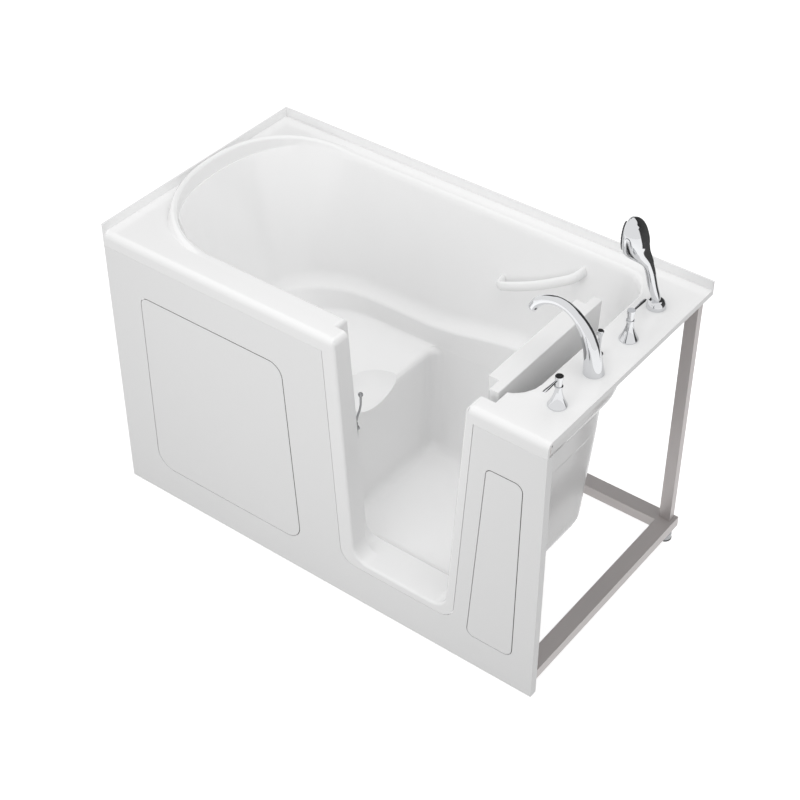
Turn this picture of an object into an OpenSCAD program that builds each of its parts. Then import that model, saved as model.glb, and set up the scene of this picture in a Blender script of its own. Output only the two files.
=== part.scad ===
// Walk-in bathtub with an inward-opening door, a deck-mounted filler and a steel support frame.
// Millimetres. Work inside the modules starts at the front left corner of the tub's footprint:
// X runs along the wall, Y runs from the skirt to the wall and Z runs up from the floor.

/* [Tub] */
// Length along the wall
tub_l = 1524; // [1500:1:1560]
// Depth from the front skirt to the wall
tub_w = 813; // [800:1:840]
// Height of the deck above the floor
deck_z = 936; // [920:1:960]
// Wall of the moulded acrylic shell
shell_t = 8; // [6:0.5:10]
// Height of the tiling flange above the deck
flange_h = 29; // [20:1:40]
// Thickness of the tiling flange
flange_t = 6; // [4:0.5:8]
// Height of the front fascia below the deck
fascia_h = 46; // [36:1:56]
// Radius of the rolled front edge of the deck
deck_roll = 20; // [12:1:26]
// Height of the turned-down lip at the ends of the deck
lip_h = 18; // [14:1:22]
// Rise of the headrest rim above the deck
rim_h = 48; // [30:1:56]
// Radius of the basin's upper edge
lip_r = 10; // [6:1:12]

/* [Basin] */
// Distance of the basin's front wall from the skirt's face, just below the deck
front_in = 106; // [104:0.5:108]
// Distance of the basin's back wall from the wall, just below the deck
back_in = 68; // [64:1:72]
// Distance of the basin's end wall from the tap end, just below the deck
tap_in = 152; // [150:1:156]
// Distance of the backrest from the head end, just below the deck
head_in = 62; // [60:1:66]
// Lean of the backrest for each millimetre of height
backrest_lean = 0.475; // [0.46:0.005:0.49]
// Lean of the back wall for each millimetre of height
wall_lean = 0.2825; // [0.27:0.0025:0.29]
// Height of the seat above the floor
seat_z = 500; // [480:1:520]
// Height of the armrest shelf above the seat
shelf_up = 66; // [56:1:80]
// Radius of the hollow between the back wall and the armrest shelf
shelf_r = 45; // [30:1:50]
// Radius of the armrest shelf's rolled edge
roll_r = 12; // [8:1:16]
// Rise of the armrest shelf towards the tap end
shelf_rise = 46; // [0:1:50]
// Distance of the seat's front edge from the head end
seat_x = 722; // [700:1:740]
// Radius of the seat's front edge
edge_r = 22; // [16:1:26]
// Height of the footwell floor
floor_z = 150; // [146:1:156]
// Height of the door sill
sill_z = 165; // [160:1:170]
// Width across the hollow in the seat's front edge
scoop_w = 210; // [150:1:220]
// Depth of the hollow in the seat's front edge
scoop_depth = 40; // [25:1:44]

/* [Doorway] */
// Left side of the doorway at deck height
door_x0 = 850; // [845:1:860]
// Right side of the doorway at deck height
door_x1 = 1272; // [1264:1:1276]
// Radius of the doorway's lower corners
door_corner = 52; // [40:1:60]
// Radius of the deck's edges beside the doorway
jamb_flare = 18; // [12:1:22]
// Radius of the doorway's front edges
jamb_r = 8; // [4:1:9]
// Depth of the door frame from the skirt's face to the sealing land
land_y = 58; // [54:1:62]
// Overlap of the door's flange over the left side of the doorway
flange_lap = 32; // [28:1:36]

/* [Door] */
// Gap between the door's body and the right side of the doorway
door_gap = 3; // [2:0.5:4]
// Extra gap at the left side that lets the door's edge swing past
swing_gap = 10; // [9:0.5:12]
// Setback of the door's face behind the skirt's face
door_setback = 25; // [18:1:30]
// Radius of the door's edges
door_edge_r = 8; // [4:1:10]
// Thickness of the door's sealing flange
door_flange_t = 27; // [24:1:30]
// Thickness of the compressed door seal
seal_t = 4; // [3:0.5:5]
// Radius of the hinge pin
pin_r = 1.6; // [1.2:0.1:2]
// Radius of the hinge knuckles
knuckle_r = 3.6; // [3.2:0.1:4]
// Number of knuckles along the hinge
knuckles = 13; // [7:2:17]

/* [Skirt] */
// Thickness of the skirt and its access panels
skirt_t = 5; // [4:0.5:6]
// Depth of the skirt's side returns
return_d = 26; // [22:1:28]
// Gap round each access panel and round the door frame
panel_gap = 1.6; // [1:0.1:2.5]
// Clearance between the skirt and the floor
skirt_lift = 3; // [2:0.5:6]

/* [Taps] */
// Distance of the filler's line of taps from the tap end
tap_line = 70; // [66:1:74]
// Distance of the front tap from the skirt
tap_front_y = 145; // [140:1:150]
// Distance between the taps and the spout
tap_pitch = 165; // [160:1:172]
// Radius of the taps' feet
tap_foot_r = 26.5; // [24:0.5:28]
// Height of the taps
tap_h = 94; // [90:1:98]
// Length of the tap levers from their axis
lever_l = 71; // [60:1:74]
// Radius of the spout's foot
spout_foot_r = 28.6; // [26:0.2:30]
// Reach of the spout
spout_reach = 196; // [180:1:206]
// Height of the spout's arch
spout_h = 182; // [170:1:190]
// Height of the diverter knob
diverter_h = 78; // [70:1:84]
// Length of the hand shower
shower_l = 262; // [240:1:270]

/* [Frame] */
// Width of the base rails
rail_w = 52; // [48:1:54]
// Height of the base rails
rail_h = 35; // [32:1:36]
// Wall of the frame tubes
tube_t = 2; // [1.5:0.5:3]
// Height of the base rails above the floor
foot_h = 44; // [42:1:48]
// Radius of the levelling feet
foot_r = 21; // [18:0.5:23]

/* [Hidden] */
$fn = 64;
over = 1;
hair = 0.3;

function clamp01(t) = min(1, max(0, t));
function ease(t) = let (u = clamp01(t)) u * u * (3 - 2 * u);
function unit(v) = v / norm(v);

// Points of an arc of radius r that rounds the corner at b between a and c
function corner_arc(a, b, c, r, steps) =
    let (
        u = unit(a - b),
        v = unit(c - b),
        half = acos(u * v) / 2,
        centre = b + unit(u + v) * r / sin(half),
        p = b + u * r / tan(half) - centre,
        q = b + v * r / tan(half) - centre,
        a0 = atan2(p.y, p.x),
        turn = atan2(p.x * q.y - p.y * q.x, p * q))
    [for (i = [0 : steps]) centre + r * [cos(a0 + turn * i / steps), sin(a0 + turn * i / steps)]];

// Closed outline whose corners are rounded, each with its own radius
function rounded_outline(points, radii, steps = 8) =
    let (n = len(points))
    [for (i = [0 : n - 1])
        each corner_arc(points[(i + n - 1) % n], points[i], points[(i + 1) % n], radii[i], steps)];

module in_place() translate([-tub_l / 2, -tub_w / 2, 0]) children();

// Extrudes an outline drawn in X and Z from y0 to y1
module along_y(y0, y1) translate([0, y1, 0]) rotate([90, 0, 0]) linear_extrude(y1 - y0) children();

// Extrudes an outline drawn in Y and Z from x0 to x1
module along_x(x0, x1) translate([x0, 0, 0]) rotate([90, 0, 90]) linear_extrude(x1 - x0) children();

// Closed skin through rings that hold equal numbers of points, which run clockwise as seen
// from outside the first ring. The first and the last ring are flat.
module loft(rings) {
    n = len(rings[0]);
    m = len(rings);
    polyhedron(
        points = [for (r = rings) each r],
        faces = concat(
            [[for (i = [0 : n - 1]) i]],
            [[for (i = [n - 1 : -1 : 0]) (m - 1) * n + i]],
            [for (k = [0 : m - 2]) for (i = [0 : n - 1])
                let (u = k * n, v = (k + 1) * n, j = (i + 1) % n)
                each [[u + j, u + i, v + i], [u + j, v + i, v + j]]]),
        convexity = 8);
}

// Tube through a list of points, with an elliptical section [across, along] at each point.
// The sections stand square to the path and turn about the given axis, which is square to the path.
module swept(path, sections, axis, sides = 20) {
    n = len(path);
    rings = [for (i = [0 : n - 1])
        let (
            dir = unit(path[min(n - 1, i + 1)] - path[max(0, i - 1)]),
            side = unit(axis - dir * (axis * dir)),
            up = cross(dir, side))
        [for (k = [0 : sides - 1])
            let (a = 360 * k / sides)
            path[i] + side * sections[i][0] * cos(a) + up * sections[i][1] * sin(a)]];
    loft(rings);
}

// Basin

nose_steps = 22;
wall_steps = 8;
corner_steps = 5;
end_steps = 3;
rise_from = seat_x - 22;
rise_over = 350;
level_drop = 21;
level_z = deck_z - level_drop;
tap_lean = 0.03;
front_lean = 0.0107;
low_back_lean = 0.125;
low_tap_lean = 0.05;
shelf_z = seat_z + shelf_up;
seat_hollow = 40;
seat_hollow_h = 100;
mid_y = tub_w / 2;
low_back_in = 213;
low_tap_in = 187;
low_front_in = 110.5;

// Faces of the basin at a height z
function head_x(z) = head_in + backrest_lean * (level_z - z)
    + seat_hollow * clamp01((seat_z + seat_hollow_h - z) / seat_hollow_h);
function back_y(z) = tub_w - back_in - wall_lean * (level_z - z);
function end_x(z) = tub_l - tap_in - tap_lean * (level_z - z);
function front_y(z) = front_in + front_lean * (level_z - z);
function low_back_y(z) = tub_w - low_back_in - low_back_lean * (seat_z - z);
function low_end_x(z) = tub_l - low_tap_in - low_tap_lean * (seat_z - z);

// Slight outward bow of the straight walls, none at their ends
wall_bow = 1.5;
function bow_at(t) = wall_bow * 4 * t * (1 - t);
function front_wall_y(z) = front_y(z) - wall_bow + hair;

// Plan of one level: a rounded nose at the head end and rounded corners at the tap end
nose_power = 2.2;
function plan(x0, x1, y0, y1, nose, r, power) =
    let (
        ym = (y0 + y1) / 2,
        half = (y1 - y0) / 2)
    concat(
        [for (i = [0 : nose_steps])
            let (a = 180 * i / nose_steps, u = abs(sin(a)), v = -cos(a))
            [x0 + nose - nose * pow(u, 2 / power), ym + half * sign(v) * pow(abs(v), 2 / power)]],
        [for (i = [1 : wall_steps])
            [x0 + nose + (x1 - r - x0 - nose) * i / wall_steps, y1 + bow_at(i / wall_steps)]],
        [for (i = [1 : corner_steps])
            let (a = 90 * i / corner_steps) [x1 - r + r * sin(a), y1 - r + r * cos(a)]],
        [for (i = [1 : end_steps])
            [x1 + bow_at(i / end_steps), y1 - r - (y1 - y0 - 2 * r) * i / end_steps]],
        [for (i = [1 : corner_steps])
            let (a = 90 * i / corner_steps) [x1 - r + r * cos(a), y0 + r - r * sin(a)]],
        [for (i = [1 : wall_steps - 1])
            [x1 - r - (x1 - r - x0 - nose) * i / wall_steps, y0 - bow_at(i / wall_steps)]]);

// Rise of the shelf and of the headrest rim at a place along the tub
function shelf_lift(x) = shelf_rise * ease((x - rise_from) / rise_over);
nose_top = 271;
rim_least = 0.3;
function rim_rise(x) =
    rim_least + (rim_h - rim_least) * pow(clamp01((crest_x0 + nose_top - x) / nose_top), 1.2);

// Crest of the rim
crest_x0 = head_in - 28;
crest_x1 = tub_l - tap_in + 12;
crest_y0 = front_in - 11;
crest_y1 = tub_w - back_in + 17;
corner_top = 92;
corner_low = 66;
nose_shelf = 314;
nose_seat = 290;

function crest_ring(z, grow, rim) =
    [for (p = plan(crest_x0 - grow, crest_x1 + grow, crest_y0 - grow, crest_y1 + grow, nose_top + grow,
        corner_top, nose_power))
        [p.x, p.y, z + rim * rim_rise(p.x)]];

// Level of the upper wall
function wall_ring(z, g, nose) =
    [for (p = plan(head_x(z) - g, end_x(z) + g, front_y(z) - g, back_y(z) + g, nose, corner_top + g,
        nose_power + 0.2 * (deck_z - z) / (deck_z - seat_z)))
        [p.x, p.y, z]];

// Level of the shelf's section, which stands out from the lower wall by a distance out. The shelf
// climbs towards the tap end, and its place on the back wall moves out with it.
step_w = back_y(shelf_z) - low_back_y(shelf_z);
function shelf_ring(z, out, g, g_out, lean, climb) =
    let (
        f = out / step_w,
        x1 = low_end_x(z) + f * (end_x(z) - low_end_x(z)) + g,
        r = corner_low + clamp01(f) * (corner_top - corner_low) + g)
    [for (p = plan(head_x(z) - g, x1, front_y(z) - g, low_back_y(z) + out + g_out,
        nose_seat + (nose_shelf - nose_seat) * clamp01(f), r, nose_power + 0.2))
        let (lift = climb * shelf_lift(p.x))
        [p.x, p.y + (p.y > mid_y ? lean * lift : 0), z + lift]];

slope_top = 74;
slope_flat = 12;
slope_low = 83;
shelf_flat = 8;
hollow_y = back_y(shelf_z + shelf_r * (1 - cos(slope_top))) - shelf_r * sin(slope_top);
roll_z = shelf_z - roll_r;
roll_y = hollow_y + shelf_r * sin(slope_flat) - shelf_flat + roll_r * sin(slope_flat);

function hollow_ring(s, g) =
    let (z = shelf_z + shelf_r * (1 - cos(s)), y = hollow_y + shelf_r * sin(s))
    shelf_ring(z - g * cos(s), y - low_back_y(z), g, g * sin(s), wall_lean, 1);

function roll_ring(s, g) =
    let (z = roll_z + roll_r * cos(s), y = roll_y - roll_r * sin(s))
    shelf_ring(z - g * cos(s), y - low_back_y(z), g, g * sin(s), wall_lean, 1);

// Level of the hollow between the walls and the seat
seat_r = 14;
seat_in = 22;
function seat_ring(s, g) =
    let (z = seat_z + seat_r * (1 - cos(s)), k = 1 - sin(s))
    [for (p = plan(head_x(z) + seat_in * k - g * sin(s), low_end_x(z) - seat_r * k + g, low_front_in
        + seat_r * k - g, low_back_y(z) - seat_r * k + g, nose_seat - seat_in * k, corner_low + g - seat_r * k,
        nose_power + 0.2))
        [p.x, p.y, z - g * cos(s)]];

function basin_rings(g) = concat(
    [crest_ring(deck_z + rim_h + lip_r, g, 0)],
    g > 0 ? [] : [for (a = [0, 25, 48, 70])
        crest_ring(deck_z - lip_r * (1 - cos(a)), -lip_r * sin(a), 1)],
    g > 0 ? [] : [crest_ring(deck_z - lip_r * 0.9, -lip_r * 1.15, 0.45)],
    [wall_ring(level_z, g, nose_top)],
    [wall_ring((level_z + shelf_z) / 2, g, (nose_top + nose_shelf) / 2)],
    [for (s = [slope_top, 53, 32, slope_flat]) hollow_ring(s, g)],
    [for (s = [slope_flat, 36, 60, slope_low]) roll_ring(s, g)],
    [for (s = [slope_low, 45, 0]) seat_ring(s, g)]);

// Footwell
well_top = 48;
well_top_in = 4;
riser_lean = 0.053;
floor_r = 28;
floor_r_end = 50;
well_corner = 40;
well_corner_end = 60;
well_corner_front = 20;
end_ease = 6;

// Inset of a hollow of radius r at a height h above its floor
function inset(r, h) = h < r ? r - sqrt(r * r - (r - h) * (r - h)) : 0;

// Level of the footwell, with its seat-side face at x0 and its floor hollows at height h
function well_ring(z, x0, h, g, out) =
    let (
        a = inset(floor_r, h) - g,
        b = inset(floor_r_end, h) - g,
        x1 = low_end_x(z) + end_ease * clamp01((seat_z - z) / (seat_z - floor_z)) - out,
        y1 = low_back_y(z) - out,
        r = well_corner + max(0, g),
        outline = rounded_outline(
            [[x0 + a, y1 - a], [x1 - b, y1 - b], [x1 - b, low_front_in + a + out], [x0 + a, low_front_in + a + out]],
            [r, well_corner_end + g, well_corner_front + g, r], 6))
    [for (p = outline) [p.x, p.y, z - g * (1 - clamp01(h / floor_r_end))]];

riser_x = seat_x + edge_r;
function well_rings(g) = concat(
    [well_ring(seat_z + well_top, seat_x, 2 * floor_r_end, g, well_top_in)],
    [for (a = [0, 30, 60, 90])
        well_ring(seat_z - edge_r * (1 - cos(a)), seat_x + edge_r * sin(a), 2 * floor_r_end, g,
            hair)],
    [for (share = [1, 0.75, 0.5, 0.32, 0.18, 0.08, 0.02, 0])
        let (h = share * floor_r_end, z = floor_z + h)
        well_ring(z, riser_x + riser_lean * (seat_z - z), h, g, 0)]);

// Doorway

door_taper = 0.064;
function left_at(x, z) = x + door_taper * (deck_z - z);

// U-shaped outline from z_low up to z_high whose sides draw in as they go down and whose
// top ends flare out with a radius
flare_steps = 6;
function u_outline(x0, x1, z_low, z_high, r, taper0, taper1, flare = 0) =
    let (
        a = [x0 + taper0 * (deck_z - z_high), z_high],
        b = [x0 + taper0 * (deck_z - z_low), z_low],
        c = [x1 - taper1 * (deck_z - z_low), z_low],
        d = [x1 - taper1 * (deck_z - z_high), z_high])
    concat(
        flare == 0 ? [a] : concat([[x0 - flare, z_high]], [for (i = [0 : flare_steps])
            let (t = 90 * i / flare_steps) [x0 - flare + flare * sin(t), deck_z - flare + flare * cos(t)]]),
        corner_arc(a, b, c, r, 8), corner_arc(b, c, d, r, 8),
        flare == 0 ? [d] : concat([for (i = [flare_steps : -1 : 0])
            let (t = 90 * i / flare_steps) [x1 + flare - flare * sin(t), deck_z - flare + flare * cos(t)]],
            [[x1 + flare, z_high]]));

function stand(outline, y) = [for (p = outline) [p.x, y, p.y]];

frame_in_x0 = 49;
frame_in_x1 = 31;
frame_x0 = door_x0 - frame_in_x0;
frame_x1 = door_x1 + frame_in_x1;
frame_z = sill_z - 27;
pocket_side = 8;
pocket_x0 = door_x0 - flange_lap - pocket_side;
hinge_x = door_x1 + 41;
pocket_x1 = hinge_x + 7;
pocket_y1 = low_front_in + 30;
jamb_skin = 10;
sill_gap = 3;
knuckle_gap = 0.5;
hinge_y = land_y + seal_t + door_flange_t + knuckle_r + knuckle_gap;

function doorway_outline(g, z_high) =
    u_outline(door_x0 - g, door_x1 + g, sill_z - g, z_high, door_corner + g, door_taper, door_taper,
        jamb_flare);

module doorway_skin() along_y(0, land_y)
    polygon(u_outline(door_x0 - jamb_skin, door_x1 + jamb_skin, sill_z - jamb_skin, deck_z - over,
        door_corner + jamb_skin, door_taper, door_taper));

module doorway_cut() {
    z_high = deck_z + rim_h;
    along_y(-over, land_y + over) polygon(doorway_outline(0, z_high));
    loft(concat(
        [for (a = [90, 60, 30, 0]) stand(doorway_outline(jamb_r * (1 - sin(a)), z_high), jamb_r * (1 - cos(a)))],
        [stand(doorway_outline(jamb_r, z_high), -over)]));
}

module frame_outline(g)
    polygon(u_outline(frame_x0 + g, frame_x1 - g, frame_z + g, deck_z - fascia_h, door_corner,
        door_taper, door_taper));

rebate_flare = 12;
module pocket(g, y0, y1, z_high, flare = 0)
    along_y(y0, y1) polygon(u_outline(pocket_x0 - g, pocket_x1 + g, sill_z - g, z_high, door_corner,
        door_taper, 0, flare));

// Rolled front edge and fascia, drawn in Y and Z
function fascia_profile() = concat(
    [[shell_t, deck_z - fascia_h], [0, deck_z - fascia_h]],
    [for (i = [0 : 6]) let (a = 90 * i / 6)
        [deck_roll - deck_roll * cos(a), deck_z - deck_roll + deck_roll * sin(a)]],
    [[deck_roll + over, deck_z], [deck_roll + over, deck_z - shell_t]],
    [for (i = [0 : 6]) let (a = 90 * i / 6, r = deck_roll - shell_t)
        [deck_roll - r * sin(a), deck_z - deck_roll + r * cos(a)]]);

module deck() {
    translate([0, deck_roll, deck_z - shell_t]) cube([tub_l, tub_w - deck_roll, shell_t]);
    along_x(0, tub_l) polygon(fascia_profile());
    for (x = [0, tub_l - shell_t])
        translate([x, deck_roll, deck_z - lip_h]) cube([shell_t, tub_w - deck_roll, lip_h]);
    translate([0, tub_w - flange_t, deck_z - lip_h]) cube([tub_l, flange_t, lip_h + flange_h]);
    translate([0, 0, deck_z - lip_h]) cube([flange_t, tub_w, lip_h + flange_h - over]);
}

// Raised headrest rim round the opening, highest at the head end: pairs of growth and rise shares
rim_w = 19;
rim_in = 14;
rim_shares = [[0, 1], [0.2, 0.97], [0.42, 0.86], [0.58, 0.66], [0.69, 0.4], [0.8, 0.15]];
module rim() loft(concat(
    [crest_ring(deck_z - shell_t / 2, -rim_in, 0), crest_ring(deck_z, -rim_in, 1)],
    [for (p = rim_shares) crest_ring(deck_z, rim_w * p[0], p[1])],
    [crest_ring(deck_z - hair, rim_w, 0), crest_ring(deck_z - shell_t + hair, rim_w, 0)]));

scoop_r = (scoop_w * scoop_w / 4 + scoop_depth * scoop_depth) / (2 * scoop_depth);
scoop_x = seat_x + 13;
scoop_y = low_front_in + 208;
module scoop(g) translate([scoop_x, scoop_y, seat_z - scoop_depth + scoop_r]) sphere(r = scoop_r + g, $fn = 72);

hole_play = 1;
overflow_hole_r = 24;
module tub_shell() color("white") in_place() difference() {
    union() {
        deck();
        intersection() {
            loft(basin_rings(shell_t));
            translate([-over, -over, 0]) cube([tub_l + 2 * over, tub_w + 2 * over, deck_z - over]);
        }
        loft(well_rings(shell_t));
        rim();
        pocket(shell_t, land_y - shell_t, pocket_y1, deck_z - over);
        along_y(0, shell_t) frame_outline(panel_gap);
        doorway_skin();
        scoop_skin();
    }
    loft(basin_rings(0));
    loft(well_rings(0));
    pocket(0, land_y, pocket_y1 + scoop_depth, deck_z + rim_h, rebate_flare);
    doorway_cut();
    intersection() {
        scoop(0);
        translate([seat_x - scoop_w, 0, 0]) cube([scoop_w + 2 * edge_r, tub_w, seat_z + scoop_depth]);
    }
    translate([tap_x, 0, deck_z]) for (y = [tap_front_y, spout_y, back_tap_y])
        translate([0, y, -shell_t - over]) cylinder(r = deck_hole_r, h = shell_t + 2 * over);
    translate([diverter_x, diverter_y, deck_z - shell_t - over])
        cylinder(r = diverter_hole_r, h = shell_t + 2 * over);
    translate([shower_x, shower_y, deck_z - shell_t - over]) cylinder(r = deck_hole_r, h = shell_t + 2 * over);
    translate([drain_x, drain_y, floor_z - shell_t - over]) cylinder(r = drain_hole_r, h = shell_t + 3 * over);
    translate([overflow_x, 0, overflow_z]) rotate([-90, 0, 0]) cylinder(r = overflow_hole_r, h = tub_w / 4);
}

module scoop_skin() intersection() {
    scoop(shell_t);
    translate([seat_x - scoop_w, low_front_in, 0]) cube([scoop_w + edge_r, tub_w / 2, seat_z - over]);
}

// Filler, drain and overflow places

tap_x = tub_l - tap_line;
spout_y = tap_front_y + tap_pitch;
back_tap_y = spout_y + tap_pitch + 10;
shower_x = tap_x - 15;
shower_y = back_tap_y + tap_pitch;
diverter_x = tap_x - 28;
diverter_y = spout_y + 72;
deck_hole_r = 17;
diverter_hole_r = 11;
drain_x = 1190;
drain_y = 400;
drain_hole_r = 23;
overflow_x = 640;
overflow_z = 800;

// Skirt and access panels

skirt_z1 = deck_z - fascia_h - 0.5;
left_panel = [[126, 765], [657, 765], [700, 117], [126, 117]];
left_radii = [28, 48, 52, 62];
right_panel = [[1343, 765], [1459, 765], [1454, 117], [1299, 117]];
right_radii = [20, 26, 30, 24];

module panel_shape(points, radii, g)
    offset(delta = g) polygon(rounded_outline(points, radii));

module front_skirt() color("gainsboro") in_place() {
    along_y(0, skirt_t) difference() {
        polygon([[0, skirt_lift], [tub_l, skirt_lift], [tub_l, skirt_z1], [0, skirt_z1]]);
        polygon(u_outline(frame_x0, frame_x1, frame_z, deck_z, door_corner, door_taper, door_taper));
        panel_shape(left_panel, left_radii, 0);
        panel_shape(right_panel, right_radii, 0);
    }
    for (x = [0, tub_l - skirt_t])
        translate([x, skirt_t, skirt_lift]) cube([skirt_t, return_d - skirt_t, skirt_z1 - skirt_lift]);
}

module left_access_panel() color("gainsboro") in_place()
    along_y(0, skirt_t) panel_shape(left_panel, left_radii, -panel_gap);

module right_access_panel() color("gainsboro") in_place()
    along_y(0, skirt_t) panel_shape(right_panel, right_radii, -panel_gap);

// One magnet in each corner of a panel: places are [x, z]
magnet_in = 30;
magnet_r = 8;
magnet_t = 5;
left_magnets = [[170, 735], [600, 735], [645, 150], [190, 150]];
right_magnets = [[1368, 738], [1434, 738], [1428, 146], [1330, 146]];
tab_t = 2;

module magnets(places) color("dimgray") in_place() for (p = places)
    translate([p.x, skirt_t, p.y]) rotate([-90, 0, 0]) cylinder(r = magnet_r, h = magnet_t);

module left_panel_magnets() magnets(left_magnets);
module right_panel_magnets() magnets(right_magnets);

// Steel tabs screwed behind the skirt, which the magnets hold on to
module skirt_tabs() color("silver") in_place()
    for (p = concat(left_magnets, right_magnets)) {
        reach = p.y > 400 ? 52 : -52;
        z0 = min(p.y - magnet_r - tab_t, p.y + reach);
        z1 = max(p.y + magnet_r + 2, p.y + reach);
        translate([p.x - 10, skirt_t + magnet_t + 0.1, z0]) cube([20, tab_t, z1 - z0]);
        translate([p.x - 10, skirt_t, p.y > 400 ? z1 - 14 : z0]) cube([20, magnet_t + 0.1, 14]);
    }

// Door: drawn shut, then turned open about the hinge

module opened() in_place() translate([hinge_x, hinge_y, 0]) rotate([0, 0, -90])
    translate([-hinge_x, -hinge_y, 0]) children();

door_z0 = sill_z + sill_gap;
flange_y0 = land_y + seal_t;
flange_y1 = flange_y0 + door_flange_t;
flange_x0 = door_x0 - flange_lap;
flange_x1 = hinge_x - 1;

function door_body(g) = u_outline(door_x0 + swing_gap + g, door_x1 - door_gap - g, door_z0 + g, deck_z - g,
    door_corner, door_taper, door_taper);
flange_edge_r = 4;
function door_flange(g) = u_outline(flange_x0 + g, flange_x1 - g, door_z0 + g, deck_z - g, door_corner,
    door_taper, 0);

module door_panel() color("whitesmoke") opened() {
    loft(concat([stand(door_body(0), flange_y0 + over)],
        [for (a = [90, 60, 30, 0])
            stand(door_body(door_edge_r * (1 - sin(a))), door_setback + door_edge_r * (1 - cos(a)))]));
    loft(concat(
        [for (a = [0, 30, 60, 90])
            stand(door_flange(flange_edge_r * (1 - sin(a))), flange_y1 - flange_edge_r * (1 - cos(a)))],
        [stand(door_flange(0), flange_y0)]));
}

seal_in = 3;
seal_down = 10;

module door_seal() color("gray") opened()
    along_y(land_y + hair, flange_y0) difference() {
        polygon(u_outline(flange_x0 + seal_in, flange_x1 - seal_in, sill_z + hair, deck_z - seal_down, door_corner,
            door_taper, 0));
        polygon(u_outline(door_x0 + swing_gap - hair, door_x1 - door_gap + hair, door_z0 - hair,
            deck_z + over, door_corner, door_taper, door_taper));
    }

hinge_z0 = 220;
hinge_z1 = 900;
knuckle_l = (hinge_z1 - hinge_z0) / knuckles;
leaf_t = 1.4;
pin_play = 0.05;
leaf_w = 28;
leaf_in = 12;
frame_leaf_w = 20;
pin_stand = 2;

module knuckle_row(first)
    for (i = [first : 2 : knuckles - 1])
        translate([hinge_x, hinge_y, hinge_z0 + i * knuckle_l + hair]) difference() {
            cylinder(r = knuckle_r, h = knuckle_l - 2 * hair);
            translate([0, 0, -over]) cylinder(r = pin_r + pin_play, h = knuckle_l + 2 * over);
        }

module hinge_door_leaf() color("silver") opened() difference() {
    union() {
        knuckle_row(1);
        translate([hinge_x - leaf_w, flange_y1, hinge_z0]) cube([leaf_w, leaf_t, hinge_z1 - hinge_z0]);
        for (i = [1 : 2 : knuckles - 1])
            translate([hinge_x - knuckle_r, flange_y1, hinge_z0 + i * knuckle_l + hair])
                cube([leaf_t, hinge_y - flange_y1, knuckle_l - 2 * hair]);
    }
    for (i = [0 : 2 : knuckles])
        translate([hinge_x - knuckle_r - hair, flange_y1 - over, hinge_z0 + i * knuckle_l - hair])
            cube([3 * knuckle_r, 2 * knuckle_r, knuckle_l + 2 * hair]);
    translate([hinge_x, hinge_y, 0]) cylinder(r = pin_r + pin_play, h = deck_z);
}

module hinge_frame_leaf() color("silver") in_place() difference() {
    union() {
        knuckle_row(0);
        for (i = [0 : 2 : knuckles - 1])
            translate([hinge_x + knuckle_r - leaf_t, land_y + leaf_in, hinge_z0 + i * knuckle_l + hair])
                cube([leaf_t, hinge_y - land_y - leaf_in, knuckle_l - 2 * hair]);
        translate([hinge_x + knuckle_r - leaf_t + hair, land_y + leaf_in, hinge_z0])
            cube([pocket_x1 - hinge_x - knuckle_r + leaf_t - hair, frame_leaf_w, hinge_z1 - hinge_z0]);
    }
    translate([hinge_x, hinge_y, 0]) cylinder(r = pin_r + pin_play, h = deck_z);
}

module hinge_pin() color("silver") in_place() translate([hinge_x, hinge_y, hinge_z0 - pin_stand])
    cylinder(r = pin_r, h = hinge_z1 - hinge_z0 + 2 * pin_stand);

// Latch on the inner wall beside the doorway

latch_x = door_x0 - 28;
latch_z = seat_z + 46;
latch_wall = front_wall_y(latch_z) + 0.8;
hub_y0 = latch_wall + 4;
hub_t = 10;
hub_r = 9;
lever_rise = 104;
lever_out = 22;
knob_r = 7.5;
finger_l = 26;
finger_r = 3.6;
finger_tip_r = 5;
strike_w = 26;
strike_h = 44;
plate_w = 24;
plate_h = 60;
plate_t = 2.5;
stud_r = 3;
cap_r = 5.5;
latch_play = 0.05;

module door_strike() color("silver") opened()
    translate([latch_x + strike_w, flange_y1, latch_z - strike_h / 2])
        cube([strike_w, hub_y0 + hub_t / 2 - finger_tip_r - hair - flange_y1, strike_h]);

module latch_bracket() color("silver") in_place() {
    translate([latch_x - plate_w / 2, latch_wall, latch_z - plate_h / 2]) cube([plate_w, plate_t, plate_h]);
    translate([latch_x, latch_wall + over, latch_z]) rotate([-90, 0, 0])
        cylinder(r = hub_r + over, h = hub_y0 - latch_wall - over - hair);
    translate([latch_x, latch_wall + over, latch_z]) rotate([-90, 0, 0])
        cylinder(r = stud_r, h = hub_y0 + hub_t - latch_wall + over);
    translate([latch_x, hub_y0 + hub_t + hair, latch_z]) rotate([-90, 0, 0]) cylinder(r = cap_r, h = plate_t);
}

lever_steps = 6;
lever_r = 3.2;
module latch_lever() color("silver") in_place() {
    difference() {
        translate([latch_x, hub_y0, latch_z]) rotate([-90, 0, 0]) cylinder(r = hub_r, h = hub_t);
        translate([latch_x, hub_y0 - over, latch_z]) rotate([-90, 0, 0])
            cylinder(r = stud_r + latch_play, h = hub_t + 2 * over);
    }
    lever_path = [for (i = [0 : lever_steps]) let (t = i / lever_steps)
        [latch_x, hub_y0 + hub_t / 2 + lever_out * ease((t - 0.15) / 0.5),
            latch_z + hub_r - 2 * over + (lever_rise - hub_r + 2 * over) * t]];
    swept(lever_path, [for (i = [0 : lever_steps]) [lever_r, lever_r]], [1, 0, 0], 12);
    translate([latch_x, hub_y0 + hub_t / 2, latch_z - hub_r - finger_l + over]) {
        cylinder(r = finger_r, h = finger_l);
        sphere(r = finger_tip_r);
    }
}

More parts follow.
